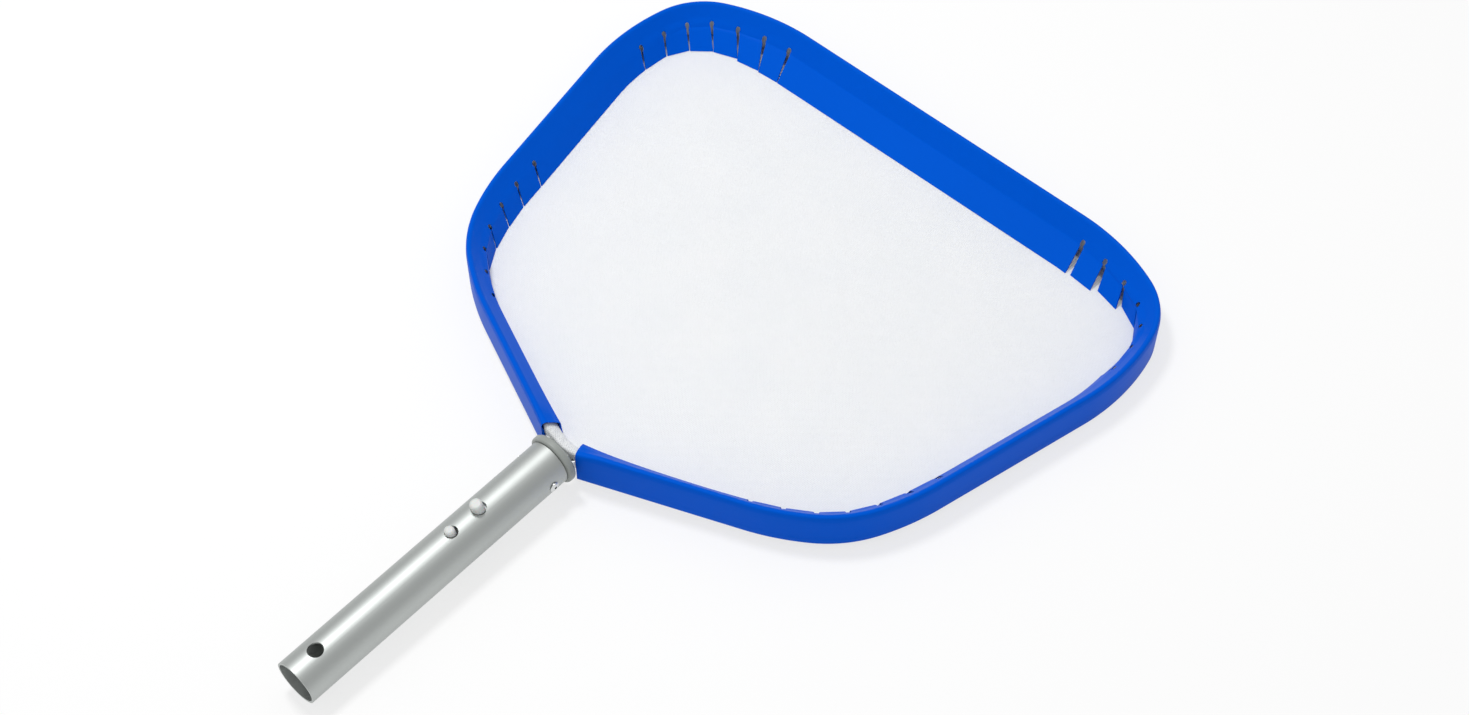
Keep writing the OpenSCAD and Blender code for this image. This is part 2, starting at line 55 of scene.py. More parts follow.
def addNode(tree, kind, inputs=None, **settings):
    # Adds a node, sets its fields, and sets or links each named input
    node = tree.nodes.new(kind)
    for field, value in settings.items():
        setattr(node, field, value)
    for name, value in (inputs or {}).items():
        if isinstance(value, bpy.types.NodeSocket):
            tree.links.new(value, node.inputs[name])
        else:
            node.inputs[name].default_value = value
    return node


def newMaterial(name):
    material = bpy.data.materials.new(name)
    material.use_nodes = True
    material.node_tree.nodes.clear()
    return material, material.node_tree


def finishMaterial(tree, surface):
    addNode(tree, "ShaderNodeOutputMaterial", {"Surface": surface})


def meshObject(name, points, faces, material, uv=None, smooth=True):
    # points is an array of places in metres, faces an array or list of index rows
    mesh = bpy.data.meshes.new(name)
    rows = [tuple(int(i) for i in face) for face in faces]
    mesh.from_pydata(np.asarray(points).reshape(-1, 3).tolist(), [], rows)
    if uv is not None:
        corners = np.zeros(len(mesh.loops), dtype=np.int32)
        mesh.loops.foreach_get("vertex_index", corners)
        layer = mesh.uv_layers.new(name="surface")
        layer.data.foreach_set("uv", np.asarray(uv, dtype=np.float32).reshape(-1, 2)[corners].ravel())
    mesh.polygons.foreach_set("use_smooth", np.full(len(mesh.polygons), smooth))
    mesh.materials.append(material)
    mesh.update()
    piece = bpy.data.objects.new(name, mesh)
    bpy.context.scene.collection.objects.link(piece)
    return piece


def gridFaces(rows, columns, keep=None, flip=False):
    # Quads between neighbouring grid points. keep is a mask with one value per quad.
    index = np.arange(rows * columns).reshape(rows, columns)
    quads = np.stack([index[:-1, :-1], index[1:, :-1], index[1:, 1:], index[:-1, 1:]], axis=-1)
    if flip:
        quads = quads[..., ::-1]
    return quads[keep] if keep is not None else quads.reshape(-1, 4)


def smoothStep(t):
    # Cubic ease from 0 to 1
    t = np.clip(t, 0, 1)
    return t * t * (3 - 2 * t)


cameraValues = {
    "turn": 42.937,             # degrees from the view's right to the net's +X
    "elevation": 52.205,        # degrees above the floor
    "distance": 1395.0,         # mm to the middle of the tube's front end, along the view
    "focal": 2398.0,            # focal length in pixels
    "imageSize": (1469, 715),
    "tubeEnd": (550.0, 461.654),  # pixel at which the middle of the tube's front end lies
    "sensor": 36.0, "clip": (0.05, 50.0),
}


def makeCamera(values, target):
    width, height = values["imageSize"]
    turn, rise = math.radians(values["turn"]), math.radians(values["elevation"])
    right = np.array([math.cos(turn), math.sin(turn), 0.0])
    away = np.array([-math.sin(turn), math.cos(turn), 0.0])
    forward = away * math.cos(rise) - np.array([0, 0, 1.0]) * math.sin(rise)
    up = away * math.sin(rise) + np.array([0, 0, 1.0]) * math.cos(rise)
    distance = values["distance"] * mm
    across = (values["tubeEnd"][0] - width / 2) / values["focal"] * distance
    below = (values["tubeEnd"][1] - height / 2) / values["focal"] * distance
    place = target - forward * distance - right * across + up * below
    data = bpy.data.cameras.new("camera")
    data.sensor_width = values["sensor"]
    data.sensor_fit = "HORIZONTAL"
    data.lens = values["focal"] / width * data.sensor_width
    data.clip_start, data.clip_end = values["clip"]
    camera = bpy.data.objects.new("camera", data)
    matrix = np.eye(4)
    matrix[:3, 0], matrix[:3, 1], matrix[:3, 2], matrix[:3, 3] = right, up, -forward, place
    camera.matrix_world = mathutils.Matrix(matrix.tolist())
    bpy.context.scene.collection.objects.link(camera)
    bpy.context.scene.camera = camera


handle = {
    "droop": math.radians(2.3),     # the handle points down from the net by this much
    "lockY": 77.0,                  # mm from the tube's front end back to the lock buttons
}


def fromTubeEnd(points):
    # Moves points in mm, given from the tube's front end, into the frame at the lock buttons
    along, droop = handle["lockY"], handle["droop"]
    shift = np.array([0, along * math.cos(droop), along * math.sin(droop)])
    return (np.asarray(points) + shift) * mm


makeCamera(cameraValues, fromTubeEnd([0.0, 0.0, 0.0]))
bpy.context.scene.view_settings.view_transform = "Standard"
print("camera done")


def extrudedVinyl():
    # Soft blue vinyl pushed through a die: clean colour, semi-gloss, faint flow lines along the strip
    values = {"colour": "005CDA", "deep": "0057D0", "roughness": 0.4, "roughSpread": 0.05,
              "specular": 0.04, "glint": "90B8FF", "ior": 1.5, "cloud": 9.0,
              "flowPitch": 1.6, "flowAlong": 18, "flowStrength": 0.12, "flowDepth": 0.0003,
              "peelPitch": 0.9, "peelStrength": 0.06, "peelDepth": 0.0002}
    material, tree = newMaterial("extrudedVinyl")
    surface = addNode(tree, "ShaderNodeUVMap", uv_map="surface")      # metres along and round the strip
    scale = (values["flowAlong"], 1 / (values["flowPitch"] * mm), 1)
    stretch = addNode(tree, "ShaderNodeMapping", {"Vector": surface.outputs[0], "Scale": scale})
    flow = addNode(tree, "ShaderNodeTexNoise", {"Vector": stretch.outputs[0], "Scale": 1.0,
                                                "Detail": 2.0})
    place = addNode(tree, "ShaderNodeTexCoord")
    peel = addNode(tree, "ShaderNodeTexNoise", {"Vector": place.outputs["Object"],
                                                "Scale": 1 / (values["peelPitch"] * mm), "Detail": 1.0})
    cloud = addNode(tree, "ShaderNodeTexNoise", {"Vector": place.outputs["Object"],
                                                 "Scale": values["cloud"], "Detail": 2.0})
    tint = addNode(tree, "ShaderNodeMix", {"Factor": cloud.outputs["Fac"]}, data_type="RGBA")
    tint.inputs["A"].default_value = linearColour(values["deep"])
    tint.inputs["B"].default_value = linearColour(values["colour"])
    rough = addNode(tree, "ShaderNodeMapRange", {"Value": flow.outputs["Fac"],
                                                 "To Min": values["roughness"] - values["roughSpread"],
                                                 "To Max": values["roughness"] + values["roughSpread"]})
    lines = addNode(tree, "ShaderNodeBump", {"Height": flow.outputs["Fac"],
                                             "Strength": values["flowStrength"],
                                             "Distance": values["flowDepth"]})
    skin = addNode(tree, "ShaderNodeBump", {"Height": peel.outputs["Fac"],
                                            "Strength": values["peelStrength"],
                                            "Distance": values["peelDepth"], "Normal": lines.outputs[0]})
    shader = addNode(tree, "ShaderNodeBsdfPrincipled", {"Base Color": tint.outputs["Result"],
                                                        "Roughness": rough.outputs[0],
                                                        "IOR": values["ior"],
                                                        "Normal": skin.outputs[0]})
    shader.inputs["Specular IOR Level"].default_value = values["specular"]
    shader.inputs["Specular Tint"].default_value = linearColour(values["glint"])
    finishMaterial(tree, shader.outputs[0])
    return material


def wovenPolyester():
    # White polyester thread, drawn and woven: soft, matt, a little lighter and darker from thread to thread
    values = {"light": "FDFEFF", "dark": "F6F9FC", "cloud": 26.0, "roughness": 0.6, "ior": 1.5,
              "sheen": 0.15, "fuzzPitch": 0.5, "fuzzStrength": 0.2, "fuzzDepth": 0.0001}
    material, tree = newMaterial("wovenPolyester")
    place = addNode(tree, "ShaderNodeTexCoord")
    cloud = addNode(tree, "ShaderNodeTexNoise", {"Vector": place.outputs["Object"],
                                                 "Scale": values["cloud"], "Detail": 3.0})
    tint = addNode(tree, "ShaderNodeMix", {"Factor": cloud.outputs["Fac"]}, data_type="RGBA")
    tint.inputs["A"].default_value = linearColour(values["light"])
    tint.inputs["B"].default_value = linearColour(values["dark"])
    fuzz = addNode(tree, "ShaderNodeTexNoise", {"Vector": place.outputs["Object"],
                                                "Scale": 1 / (values["fuzzPitch"] * mm), "Detail": 1.0})
    relief = addNode(tree, "ShaderNodeBump", {"Height": fuzz.outputs["Fac"],
                                              "Strength": values["fuzzStrength"],
                                              "Distance": values["fuzzDepth"]})
    shader = addNode(tree, "ShaderNodeBsdfPrincipled", {"Base Color": tint.outputs["Result"],
                                                        "Roughness": values["roughness"],
                                                        "IOR": values["ior"],
                                                        "Normal": relief.outputs[0]})
    shader.inputs["Sheen Weight"].default_value = values["sheen"]
    finishMaterial(tree, shader.outputs[0])
    return material


def foldedMesh():
    # The same cloth folded double: denser weave squares, with painted shade in the small gaps between the
    # threads
    # gap is a painted shade colour: the grey put into the holes between the threads
    values = {"thread": "F1F3F4", "gap": "B9BCBD", "pitch": 1.1, "turn": 45, "disorder": 0.25,
              "gapShadeStart": 0.4, "gapShadeFull": 0.7, "roughness": 0.65, "ior": 1.5,
              "weaveStrength": 0.5, "weaveDepth": 0.0003}
    material, tree = newMaterial("foldedMesh")
    surface = addNode(tree, "ShaderNodeUVMap", uv_map="surface")
    turned = addNode(tree, "ShaderNodeMapping", {"Vector": surface.outputs[0],
                                                 "Rotation": (0, 0, math.radians(values["turn"]))})
    weave = addNode(tree, "ShaderNodeTexVoronoi", {"Vector": turned.outputs[0],
                                                   "Scale": 1 / (values["pitch"] * mm),
                                                   "Randomness": values["disorder"]},
                    voronoi_dimensions="2D")
    # Painted shade: grey is mixed in where the weave's cells leave gaps between the threads
    gapShade = addNode(tree, "ShaderNodeMapRange", {"Value": weave.outputs["Distance"],
                                                "From Min": values["gapShadeStart"],
                                                "From Max": values["gapShadeFull"]})
    tint = addNode(tree, "ShaderNodeMix", {"Factor": gapShade.outputs[0]}, data_type="RGBA")
    tint.inputs["A"].default_value = linearColour(values["thread"])
    tint.inputs["B"].default_value = linearColour(values["gap"])
    relief = addNode(tree, "ShaderNodeBump", {"Height": weave.outputs["Distance"],
                                              "Strength": values["weaveStrength"],
                                              "Distance": values["weaveDepth"]}, invert=True)
    shader = addNode(tree, "ShaderNodeBsdfPrincipled", {"Base Color": tint.outputs["Result"],
                                                        "Roughness": values["roughness"],
                                                        "IOR": values["ior"],
                                                        "Normal": relief.outputs[0]})
    finishMaterial(tree, shader.outputs[0])
    return material


metal = {"lineAlong": 12, "cloud": 60.0, "roughSpread": 0.03, "darkShare": 0.96, "depth": 0.0001}
plastic = {"cloud": 45.0, "darkShare": 0.94, "grain": 0.12, "depth": 0.0001, "ior": 1.48, "glow": 0.002}


def drawnMetal(name, colour, roughness, linePitch, lineStrength):
    # Drawn or extruded metal, satin anodised or as it leaves the mill: wide highlight, fine lines along it
    material, tree = newMaterial(name)
    place = addNode(tree, "ShaderNodeTexCoord")
    fine = 1 / (linePitch * mm)
    along = addNode(tree, "ShaderNodeMapping", {"Vector": place.outputs["Object"],
                                                "Rotation": (-handle["droop"], 0, 0),
                                                "Scale": (fine, metal["lineAlong"], fine)})
    lines = addNode(tree, "ShaderNodeTexNoise", {"Vector": along.outputs[0], "Scale": 1.0,
                                                 "Detail": 2.0})
    cloud = addNode(tree, "ShaderNodeTexNoise", {"Vector": place.outputs["Object"],
                                                 "Scale": metal["cloud"], "Detail": 3.0})
    tint = addNode(tree, "ShaderNodeMix", {"Factor": lines.outputs["Fac"]}, data_type="RGBA")
    base = linearColour(colour)
    tint.inputs["A"].default_value = [v * metal["darkShare"] for v in base[:3]] + [1.0]
    tint.inputs["B"].default_value = base
    rough = addNode(tree, "ShaderNodeMapRange", {"Value": cloud.outputs["Fac"],
                                                 "To Min": roughness - metal["roughSpread"],
                                                 "To Max": roughness + metal["roughSpread"]})
    relief = addNode(tree, "ShaderNodeBump", {"Height": lines.outputs["Fac"], "Strength": lineStrength,
                                              "Distance": metal["depth"]})
    shader = addNode(tree, "ShaderNodeBsdfPrincipled", {"Base Color": tint.outputs["Result"],
                                                        "Metallic": 1.0, "Roughness": rough.outputs[0],
                                                        "Normal": relief.outputs[0]})
    finishMaterial(tree, shader.outputs[0])
    return material


def mouldedPlastic(name, colour, roughness, grainPitch, softness):
    # Injection-moulded plastic with a fine spark-eroded grain: even colour, soft sheen
    material, tree = newMaterial(name)
    place = addNode(tree, "ShaderNodeTexCoord")
    grain = addNode(tree, "ShaderNodeTexNoise", {"Vector": place.outputs["Object"],
                                                 "Scale": 1 / (grainPitch * mm), "Detail": 2.0})
    cloud = addNode(tree, "ShaderNodeTexNoise", {"Vector": place.outputs["Object"],
                                                 "Scale": plastic["cloud"], "Detail": 2.0})
    tint = addNode(tree, "ShaderNodeMix", {"Factor": cloud.outputs["Fac"]}, data_type="RGBA")
    base = linearColour(colour)
    tint.inputs["A"].default_value = base
    tint.inputs["B"].default_value = [v * plastic["darkShare"] for v in base[:3]] + [1.0]
    relief = addNode(tree, "ShaderNodeBump", {"Height": grain.outputs["Fac"],
                                              "Strength": plastic["grain"],
                                              "Distance": plastic["depth"]})
    shader = addNode(tree, "ShaderNodeBsdfPrincipled", {"Base Color": tint.outputs["Result"],
                                                        "Roughness": roughness, "IOR": plastic["ior"],
                                                        "Normal": relief.outputs[0]})
    shader.inputs["Subsurface Weight"].default_value = softness
    shader.inputs["Subsurface Scale"].default_value = plastic["glow"]
    finishMaterial(tree, shader.outputs[0])
    return material


vinyl = extrudedVinyl()
polyester = wovenPolyester()
folded = foldedMesh()
anodised = drawnMetal("satinAnodisedTube", "C1C5C3", roughness=0.52, linePitch=0.35, lineStrength=0.12)
millFinish = drawnMetal("millFinishExtrusion", "ECEDEC", roughness=0.55, linePitch=0.5, lineStrength=0.2)
rivetMetal = drawnMetal("rivetAluminium", "DADCDC", roughness=0.25, linePitch=0.6, lineStrength=0.1)
mandrelSteel = drawnMetal("mandrelSteel", "8C8E90", roughness=0.4, linePitch=0.5, lineStrength=0.2)
greyNylon = mouldedPlastic("greyNylonPlug", "9A9F9B", roughness=0.42, grainPitch=0.4, softness=0.0)
paleAcetal = mouldedPlastic("paleAcetalClip", "DADDDB", roughness=0.36, grainPitch=0.5, softness=0.1)
cordVinyl = mouldedPlastic("splineCordVinyl", "BFC3C3", roughness=0.6, grainPitch=0.6, softness=0.0)

nodeMaterials = {
    "handle_tube": anodised, "throat_plug": greyNylon, "hoop": millFinish, "clip_bend": paleAcetal,
    "upper_clip_arm": paleAcetal, "lower_clip_arm": paleAcetal, "left_rivet": rivetMetal,
    "right_rivet": rivetMetal, "left_mandrel": mandrelSteel, "right_mandrel": mandrelSteel,
}
for nodeName, material in nodeMaterials.items():
    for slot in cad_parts[nodeName].material_slots:
        slot.material = material
print("materials done")


rim = {
    "throatHalf": 18.0, "throatReach": 10.8,    # start of the right arm's outer line, mm from the tube's end
    "armAngle": 22.7, "armLength": 97.0,
    "shoulderEase": 170.0, "shoulderRadius": 86.0,
    "sideAngle": 77.3, "sideLength": 107.0,
    "cornerEase": 146.0, "cornerRadius": 51.0,
}


def planStretches(r):
    # Each stretch is (length, curvature): straight ones have curvature 0
    shoulder = math.radians(r["sideAngle"] - r["armAngle"])
    corner = math.radians(180 - r["sideAngle"])
    return np.array([
        (r["armLength"], 0),
        (r["shoulderEase"] * shoulder / 4, 1 / r["shoulderEase"]),
        (r["shoulderRadius"] * shoulder / 2, 1 / r["shoulderRadius"]),
        (r["shoulderEase"] * shoulder / 4, 1 / r["shoulderEase"]),
        (r["sideLength"], 0),
        (r["cornerEase"] * corner / 4, 1 / r["cornerEase"]),
        (r["cornerRadius"] * corner / 2, 1 / r["cornerRadius"]),
        (r["cornerEase"] * corner / 4, 1 / r["cornerEase"]),
    ])


def tracePlan(r):
    # Heading is the start angle plus curvature times run, summed stretch by stretch
    stretches = planStretches(r)
    starts = [(r["throatHalf"], r["throatReach"], math.radians(r["armAngle"]))]
    for length, bend in stretches:
        x, y, turn = starts[-1]
        if bend == 0:
            starts.append((x + length * math.cos(turn), y + length * math.sin(turn), turn))
        else:
            after = turn + length * bend
            starts.append((x + (math.sin(after) - math.sin(turn)) / bend,
                           y + (math.cos(turn) - math.cos(after)) / bend, after))
    halfEdge = starts[-1][0]
    stretches = np.vstack([stretches, (halfEdge, 0)])
    runs = np.concatenate([[0], np.cumsum(stretches[:, 0])])
    return stretches, np.array(starts), runs


planSteps, planStarts, planRuns = tracePlan(rim)
halfRun = planRuns[-1]


def planAt(run):
    # Place and inward direction at a run along the rim. Past the middle of the leading edge the run
    # counts on, and x turns negative.
    run = np.asarray(run, dtype=float)
    left = run > halfRun
    own = np.where(left, 2 * halfRun - run, run)
    k = np.clip(np.searchsorted(planRuns, own, side="right") - 1, 0, len(planSteps) - 1)
    along = own - planRuns[k]
    bend, x, y, turn = planSteps[k, 1], planStarts[k, 0], planStarts[k, 1], planStarts[k, 2]
    safe = np.where(bend == 0, 1, bend)
    after = turn + along * bend
    x = x + np.where(bend == 0, along * np.cos(turn), (np.sin(after) - np.sin(turn)) / safe)
    y = y + np.where(bend == 0, along * np.sin(turn), (np.cos(turn) - np.cos(after)) / safe)
    inward = np.stack([np.where(left, np.sin(after), -np.sin(after)), np.cos(after)], axis=-1)
    return np.stack([np.where(left, -x, x), y], axis=-1), inward


def carried(run, inset, height):
    # Place = plan point + inset times the inward direction, at the given height, all in mm
    point, inward = planAt(run)
    flat = point + inward * np.asarray(inset)[..., None]
    tall = np.broadcast_to(np.asarray(height, dtype=float), flat.shape[:-1])
    return np.concatenate([flat, tall[..., None]], axis=-1)


print("plan line done, half run", round(halfRun, 1), "mm")


bumper = {
    "top": 11.0,                            # height of the rim's crest, mm above the tube's axis
    # Corners of the outside from the underside up the outer face, over the bead and down the lip, as
    # (inset, depth below the crest, set-back of the rounding). The last one is the bend to the flange.
    "corners": ((4.2, 26.0, 0), (0.3, 26.0, 0.7), (0.1, 3.4, 1.4), (0.9, 0.5, 0.6), (2.4, 0, 0.8),
                (3.8, 0.9, 0.8), (5.5, 3.4, 1.6), (12.3, 12.8, 0.7)),
    "flangeEnd": -12.66,
    "wall": 1.6,
    "armLean": 1.0, "sideLean": 7.0, "frontLean": 17.0,     # the flange's foot lies this far in from the bend
    "wobble": 0.5,                          # the lean differs by up to this from tab to tab
    "rightStart": -6.0, "leftStart": 0.0,   # runs at which the two ends are cut
    "endDip": 1.8, "endDipLength": 16.0,    # the bead sinks a little at the cut ends
    "dipDepth": 8.0,
    "rightLift": 6.8, "leftLift": 5.4,      # there the patch and the hoop's bend push the lip up
    "liftLength": 26.0, "footLift": 0.5,
    "step": 3.0,                            # spacing of the rings
    "edgeRound": 0.3, "edgeAngle": 55, "wallClamp": 1.5,
}
slits = {
    "count": 7, "shoulderPitch": 21.0, "cornerPitch": 21.5,
    "rightShift": 3.0, "leftShift": 16.0, "cornerShift": 14.0,
    "width": 3.0, "narrow": 1.8,            # slits stand open where the bend is easy
    # Openness from the tight part of a bend to its end next to a long straight flange
    "openness": (0.55, 0.5, 0.45, 0.5, 0.75, 1.0, 1.0), "shoulderOpenness": 0.9,
    "rise": 2.6,                            # height of the slit's top above the bend, along the lip
    "notch": 3.6,                           # width of the punched notch at its top
    "crown": 0.8, "crownRows": 5,           # how round the notch's top is
    "pulledWidth": 3.8, "pulledRise": 7.2,  # on the right shoulder the strip is pulled, and they gape
    "pulledIn": 1.1,                        # the bend is drawn in there by this much
    "pulledReach": 60.0, "pulledCore": 1.6,
    "columns": 7, "clear": 2.6,             # no plain column comes nearer to a slit than this
    "longTab": 30.0,                        # longer stretches stay curved and aren't flat tabs
    "flatStart": 8, "flatRows": 9,          # rows above the slit's top at which tabs start to be flat
}


feet = {
    # Where the foot of each slit comes: shift along the run and inset, before and after the slit, in mm.
    # The tabs are stiff plates, so their feet keep their width where the rim bends.
    "rightShoulder": ((0, 13.0, 0, 13.0), (0, 13.4, 0, 13.6), (0, 14.4, 0, 14.8), (0, 15.8, 0, 16.0),
                      (0, 16.8, 0, 17.2), (0, 17.8, 0, 18.0), (0, 18.4, 0, 18.4)),
    "leftShoulder": ((-6, 12.9, -5, 12.9), (-8.5, 13.0, -7.5, 13.1), (-10.5, 13.2, -9.5, 13.4),
                     (-9.5, 15.9, -8.5, 16.5), (-7.4, 18.0, -6.2, 18.4), (-7.0, 18.8, -5.8, 19.0),
                     (-7.0, 19.3, -5.8, 19.4)),
    "rightCorner": ((-2, 18.0, -2, 17.6), (-4, 15.2, -4, 15.0), (-9, 13.8, -9, 13.7), (-13, 13.8, -13, 13.9),
                    (-9.6, 15.7, -10.2, 20.3), (-11.5, 22.2, -7.5, 26.2), (-8.9, 27.8, -4.1, 29.1)),
    "leftCorner": ((-6.1, 19.3, -4.9, 19.2), (-5.4, 19.1, -4.4, 19.5), (-4.4, 22.9, -3.6, 23.4),
                   (6.2, 24.8, 7.0, 25.3), (7.6, 25.6, 8.8, 27.6), (7.8, 28.7, 8.8, 29.5),
                   (6.6, 29.8, 7.4, 30.0)),
    "share": 0.85,                          # how much of the shift along the run is used
    "fade": 26.0,                           # on a long flange the shift dies out over this much
}


def slitFeet():
    # Rows of (run shift, inset) before and after each slit, in the order in which the strip is carried.
    # On the left half the run counts the other way, so the shift and the two sides change about.
    right = np.array(feet["rightShoulder"] + feet["rightCorner"], dtype=float)
    left = np.array(feet["leftShoulder"] + feet["leftCorner"], dtype=float)[::-1]
    left = np.stack([-left[:, 2], left[:, 3], -left[:, 0], left[:, 1]], axis=1)
    both = np.concatenate([right, left])
    both[:, [0, 2]] *= feet["share"]
    return both


def slitRuns(shift, left):
    # Runs and widths of one half's slits, shoulder first
    middle = (slits["count"] - 1) / 2
    steps = np.arange(slits["count"]) - middle
    shoulder = (planRuns[1] + planRuns[4]) / 2 + shift + steps * slits["shoulderPitch"]
    corner = (planRuns[5] + planRuns[8]) / 2 + slits["cornerShift"] + steps * slits["cornerPitch"]
    openness = np.array(slits["openness"])
    runs = np.concatenate([shoulder, corner])
    share = np.concatenate([openness[::-1] * slits["shoulderOpenness"], openness])
    widths = slits["narrow"] + (slits["width"] - slits["narrow"]) * share
    if not left:
        widths[:slits["count"]] = slits["pulledWidth"]
    return (2 * halfRun - runs, widths) if left else (runs, widths)


straightRows = [1, 4, 1, 1, 1, 1, 16, 9]        # extra rows on the straight stretch after each corner
curveRows = 5                                   # rows on each rounded corner
curveMiddle = (curveRows + 1) // 2


def profilePath(lean):
    # Each corner is a quadratic curve between points set back along its two legs. The foot leans per column.
    b = bumper
    lean = np.atleast_1d(lean)[:, None]
    points = [np.broadcast_to(np.array([c[0], b["top"] - c[1]]), (len(lean), 2)) for c in b["corners"]]
    points.append(np.concatenate([b["corners"][-1][0] + lean, np.full_like(lean, b["flangeEnd"])], axis=1))
    setBack = [c[2] for c in b["corners"]] + [0]
    path = []
    for i, (point, back) in enumerate(zip(points, setBack)):
        if back == 0:
            path.append(point[:, None])
        else:
            before = points[i - 1] - point
            after = points[i + 1] - point
            a = point + before / np.linalg.norm(before, axis=1, keepdims=True) * back
            c = point + after / np.linalg.norm(after, axis=1, keepdims=True) * back
            t = np.linspace(0, 1, curveRows)[None, :, None]
            path.append(a[:, None] * (1 - t) ** 2 + point[:, None] * 2 * t * (1 - t) + c[:, None] * t ** 2)
    return path


def fullPath(lean):
    # Joins the rounded corners with evenly spaced rows along the straight stretches
    parts = profilePath(lean)
    rows = []
    for i, part in enumerate(parts):
        rows.append(part)
        if i < len(parts) - 1:
            t = np.linspace(0, 1, straightRows[i] + 2)[1:-1][None, :, None]
            rows.append(part[:, -1:] * (1 - t) + parts[i + 1][:, :1] * t)
    return np.concatenate(rows, axis=1)


def leanAt(own):
    # Lean of the flange: eased over the shoulder, and again over the second half of the leading corner
    b, s = bumper, slits
    middle = (planRuns[5] + planRuns[8]) / 2 + s["cornerShift"]
    reach = (s["count"] - 1) / 2 * s["cornerPitch"]
    overShoulder = smoothStep((own - planRuns[1]) / (planRuns[4] - planRuns[1]))
    overCorner = smoothStep((own - middle) / reach)
    return (b["armLean"] + (b["sideLean"] - b["armLean"]) * overShoulder
            + (b["frontLean"] - b["sideLean"]) * overCorner)


def foldedRun(runs):
    # Run of the same place on the right half
    return np.where(runs > halfRun, 2 * halfRun - runs, runs)


def stripColumns(edges, cutCount):
    # Plain columns of each tab, then the columns across the slit after it: run, place across the slit
    # from -1 to 1, number of the slit or -1, and number of the tab
    b, s = bumper, slits
    spread = np.linspace(-1, 1, s["columns"])
    ahead = (s["columns"] + 1) // 2
    runs, side, cutOf, tabOf = [], [], [], []
    for i in range(cutCount + 1):
        a = edges[i] + (s["clear"] if i > 0 else 0)
        z = edges[i + 1] - (s["clear"] if i < cutCount else 0)
        n = max(2, int(round((z - a) / b["step"])) + 1)
        runs += list(np.linspace(a, z, n))
        side += [0.0] * n
        cutOf += [-1] * n
        tabOf += [i] * n
        if i < cutCount:
            runs += [edges[i + 1]] * len(spread)
            side += list(spread)
            cutOf += [i] * len(spread)
            tabOf += [i] * ahead + [i + 1] * (len(spread) - ahead)
    return np.array(runs), np.array(side), np.array(cutOf), np.array(tabOf)


